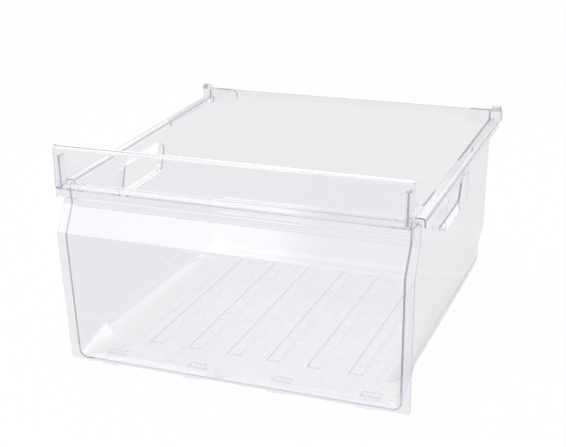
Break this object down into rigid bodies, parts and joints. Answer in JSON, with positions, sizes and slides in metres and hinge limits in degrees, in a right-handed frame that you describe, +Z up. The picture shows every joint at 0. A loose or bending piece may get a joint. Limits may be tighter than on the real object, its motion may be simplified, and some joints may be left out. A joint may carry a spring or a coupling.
{
  "type": "freezer drawer",
  "caption": "Clear moulded freezer drawer, open at the top, with a bent front panel, a handle rail, side runners, hand-holes in its sides and a ribbed floor.",
  "frame": {"origin": "middle of the drawer's footprint, on the surface that its skids and its front panel stand on", "axes": "+X to the right as seen from the handle, +Y from the handle to the rear, +Z up"},
  "size_m": [0.445, 0.442, 0.2755],
  "materials": {
    "clear_plastic": "clear, glossy, with a slight blue-violet tint and dark cut edges"
  },
  "bodies": {
    "root": {"basket": "clear_plastic", "front_panel": "clear_plastic", "handle_rail": "clear_plastic", "right_rear_stop": "clear_plastic", "left_rear_stop": "clear_plastic"}
  },
  "joints": []
}
